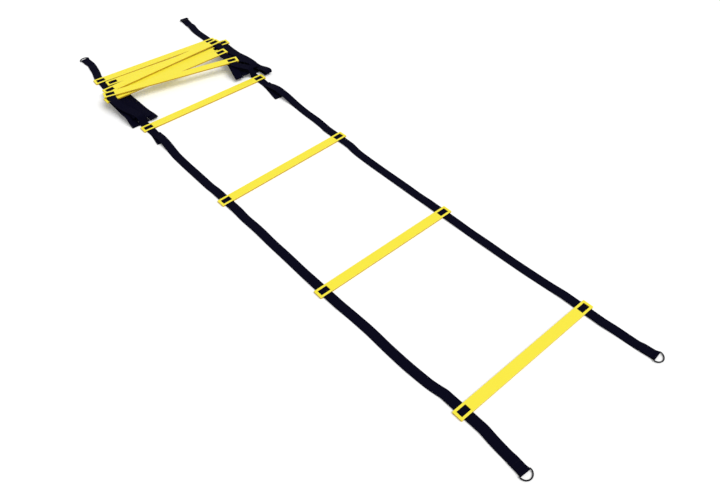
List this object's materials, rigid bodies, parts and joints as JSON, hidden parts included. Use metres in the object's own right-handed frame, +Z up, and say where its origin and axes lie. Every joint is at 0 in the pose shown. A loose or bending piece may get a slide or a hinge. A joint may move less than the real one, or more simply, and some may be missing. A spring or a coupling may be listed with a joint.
{
  "type": "agility ladder",
  "caption": "Speed and agility training ladder: flat plastic rungs threaded on two webbing side straps with D-rings at the ends, half laid out and half gathered in a fanned pile",
  "frame": {"origin": "on the floor, under the middle of the ladder's outline as it lies", "axes": "+Y from the laid out end to the piled end along the ladder, +X along the rungs to the right, +Z up"},
  "size_m": [0.486, 1.9376, 0.0365],
  "materials": {
    "rung_yellow": "bright yellow moulded plastic, satin",
    "webbing_black": "black ribbed flat webbing",
    "ring_black_steel": "black coated steel wire",
    "thread_black": "thick black sewing thread"
  },
  "bodies": {
    "webbing": {"strap_left": "webbing_black", "strap_right": "webbing_black", "stitching_near_left": "thread_black", "stitching_near_right": "thread_black", "stitching_far_left": "thread_black", "stitching_far_right": "thread_black"},
    "rung_01": {"rung_01": "rung_yellow"},
    "rung_02": {"rung_02": "rung_yellow"},
    "rung_03": {"rung_03": "rung_yellow"},
    "rung_04": {"rung_04": "rung_yellow"},
    "rung_05": {"rung_05": "rung_yellow"},
    "rung_06": {"rung_06": "rung_yellow"},
    "rung_07": {"rung_07": "rung_yellow"},
    "rung_08": {"rung_08": "rung_yellow"},
    "rung_09": {"rung_09": "rung_yellow"},
    "rung_10": {"rung_10": "rung_yellow"},
    "d_ring_near_left": {"d_ring_near_left": "ring_black_steel"},
    "d_ring_far_left": {"d_ring_far_left": "ring_black_steel"},
    "d_ring_near_right": {"d_ring_near_right": "ring_black_steel"},
    "d_ring_far_right": {"d_ring_far_right": "ring_black_steel"}
  },
  "joints": [
    {"name": "rung_01_slide", "type": "slide", "parent": "webbing", "child": "rung_01", "axis": [0, 1, 0], "range_m": [-0.03, 0.03]},
    {"name": "rung_02_slide", "type": "slide", "parent": "webbing", "child": "rung_02", "axis": [0, 1, 0], "range_m": [-0.03, 0.03]},
    {"name": "rung_03_slide", "type": "slide", "parent": "webbing", "child": "rung_03", "axis": [0, 1, 0], "range_m": [-0.03, 0.03]},
    {"name": "rung_04_slide", "type": "slide", "parent": "webbing", "child": "rung_04", "axis": [0, 1, 0], "range_m": [-0.005, 0.005]},
    {"name": "rung_05_slide", "type": "slide", "parent": "webbing", "child": "rung_05", "axis": [0.2402, 0.9707, 0], "range_m": [-0.002, 0.002]},
    {"name": "rung_06_slide", "type": "slide", "parent": "webbing", "child": "rung_06", "axis": [0.0105, 0.9999, 0], "range_m": [-0.002, 0.002]},
    {"name": "rung_07_slide", "type": "slide", "parent": "webbing", "child": "rung_07", "axis": [-0.0419, 0.9991, 0], "range_m": [-0.002, 0.002]},
    {"name": "rung_08_slide", "type": "slide", "parent": "webbing", "child": "rung_08", "axis": [-0.0105, 0.9999, 0], "range_m": [-0.002, 0.002]},
    {"name": "rung_09_slide", "type": "slide", "parent": "webbing", "child": "rung_09", "axis": [0.0993, 0.9951, 0], "range_m": [-0.002, 0.002]},
    {"name": "rung_10_slide", "type": "slide", "parent": "webbing", "child": "rung_10", "axis": [0.0837, 0.9965, 0], "range_m": [-0.002, 0.002]},
    {"name": "d_ring_near_left_turn", "type": "hinge", "parent": "webbing", "child": "d_ring_near_left", "pos_m": [-0.21324, -0.9305, 0.0034], "axis": [-0.9962, 0.0872, 0], "range_deg": [0, 170]},
    {"name": "d_ring_far_left_turn", "type": "hinge", "parent": "webbing", "child": "d_ring_far_left", "pos_m": [-0.16952, 0.95175, 0.0034], "axis": [0.9986, 0.0523, 0], "range_deg": [0, 170]},
    {"name": "d_ring_near_right_turn", "type": "hinge", "parent": "webbing", "child": "d_ring_near_right", "pos_m": [0.19641, -0.95181, 0.0034], "axis": [-0.9954, -0.0958, 0], "range_deg": [0, 170]},
    {"name": "d_ring_far_right_turn", "type": "hinge", "parent": "webbing", "child": "d_ring_far_right", "pos_m": [0.21582, 0.96172, 0.0034], "axis": [0.9925, -0.1219, 0], "range_deg": [-170, 0]}
  ]
}
